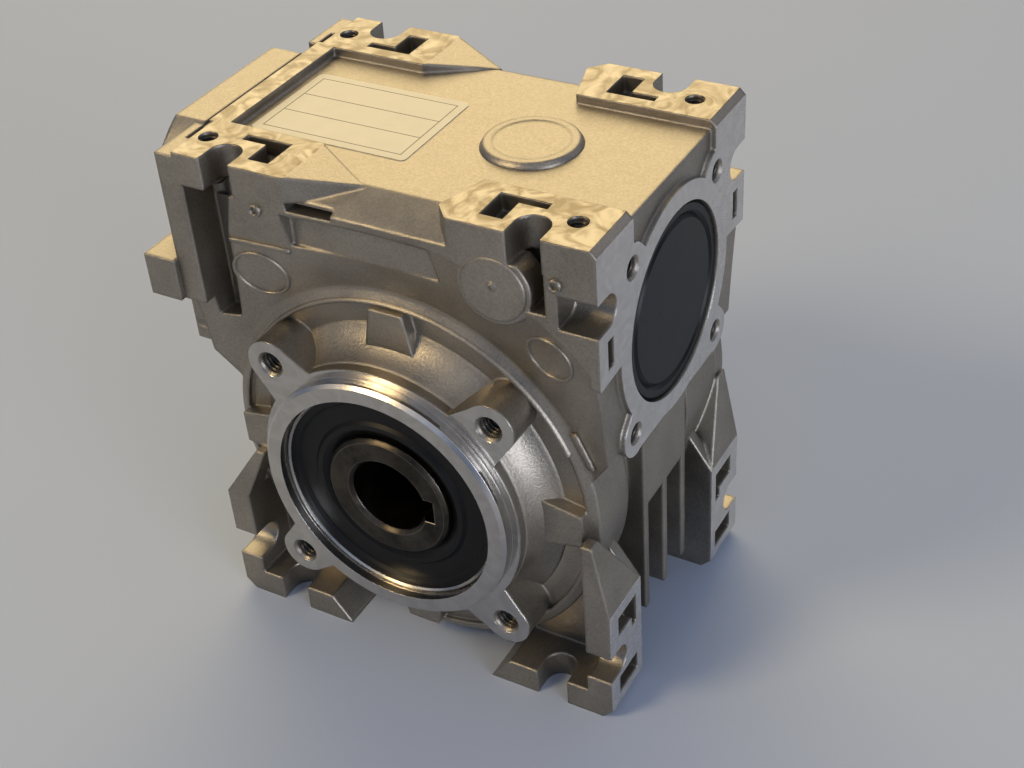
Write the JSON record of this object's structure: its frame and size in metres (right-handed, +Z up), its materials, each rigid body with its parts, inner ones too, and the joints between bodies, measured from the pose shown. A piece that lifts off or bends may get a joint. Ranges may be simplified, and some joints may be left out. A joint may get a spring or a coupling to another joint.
{
  "type": "worm gear reducer",
  "caption": "Right-angle worm gear reducer: cast housing with slotted pads and feet, hollow keyed output shaft in a flanged dome, hollow worm input and a closing cap.",
  "frame": {"origin": "middle of the hollow output shaft's bore", "axes": "+Y along the output axis from the cast-in flange to the cover, +X along the worm towards the closing cap, +Z up"},
  "size_m": [0.108, 0.082, 0.1214],
  "materials": {
    "cast_aluminium": "die-cast, blasted, machined on its faces",
    "screw_steel": "black oxide",
    "rubber": "moulded",
    "shaft_steel": "turned, oiled",
    "worm_steel": "hardened and ground",
    "bronze": "hobbed",
    "spring_steel": "phosphated",
    "bearing_steel": "ground",
    "cage_polyamide": "moulded"
  },
  "bodies": {
    "case": {"housing": "cast_aluminium", "rear_cover": "cast_aluminium", "rear_cover_screws": "screw_steel", "rear_cover_o_ring": "rubber", "input_flange": "cast_aluminium", "input_flange_screws": "screw_steel", "end_cap": "rubber", "end_circlip": "spring_steel", "input_circlip": "spring_steel", "front_output_seal": "rubber", "rear_output_seal": "rubber", "input_seal": "rubber", "front_output_bearing_outer_ring": "bearing_steel", "rear_output_bearing_outer_ring": "bearing_steel", "end_worm_bearing_outer_ring": "bearing_steel", "input_worm_bearing_outer_ring": "bearing_steel"},
    "output_shaft": {"output_hollow_shaft": "shaft_steel", "worm_wheel_rim": "bronze", "front_output_bearing_inner_ring": "bearing_steel", "rear_output_bearing_inner_ring": "bearing_steel"},
    "worm": {"worm_shaft": "worm_steel", "end_worm_bearing_inner_ring": "bearing_steel", "input_worm_bearing_inner_ring": "bearing_steel"},
    "front_output_cage": {"front_output_bearing_cage": "cage_polyamide", "front_output_bearing_balls": "bearing_steel"},
    "rear_output_cage": {"rear_output_bearing_cage": "cage_polyamide", "rear_output_bearing_balls": "bearing_steel"},
    "end_worm_cage": {"end_worm_bearing_cage": "cage_polyamide", "end_worm_bearing_balls": "bearing_steel"},
    "input_worm_cage": {"input_worm_bearing_cage": "cage_polyamide", "input_worm_bearing_balls": "bearing_steel"}
  },
  "joints": [
    {"name": "output_spin", "type": "hinge", "parent": "case", "child": "output_shaft", "pos_m": [0, 0, 0], "axis": [0, 1, 0], "continuous": true},
    {"name": "worm_spin", "type": "hinge", "parent": "case", "child": "worm", "pos_m": [0, 0, 0.04], "axis": [1, 0, 0], "continuous": true},
    {"name": "front_output_cage_spin", "type": "hinge", "parent": "case", "child": "front_output_cage", "pos_m": [0, 0, 0], "axis": [0, 1, 0], "continuous": true},
    {"name": "rear_output_cage_spin", "type": "hinge", "parent": "case", "child": "rear_output_cage", "pos_m": [0, 0, 0], "axis": [0, 1, 0], "continuous": true},
    {"name": "end_worm_cage_spin", "type": "hinge", "parent": "case", "child": "end_worm_cage", "pos_m": [0, 0, 0.04], "axis": [1, 0, 0], "continuous": true},
    {"name": "input_worm_cage_spin", "type": "hinge", "parent": "case", "child": "input_worm_cage", "pos_m": [0, 0, 0.04], "axis": [1, 0, 0], "continuous": true}
  ],
  "couplings": [
    {"joint": "worm_spin", "follows": "output_spin", "ratio": -15},
    {"joint": "front_output_cage_spin", "follows": "output_spin", "ratio": 0.41765},
    {"joint": "rear_output_cage_spin", "follows": "output_spin", "ratio": 0.41765},
    {"joint": "end_worm_cage_spin", "follows": "output_spin", "ratio": -5.9637},
    {"joint": "input_worm_cage_spin", "follows": "output_spin", "ratio": -5.9637}
  ]
}
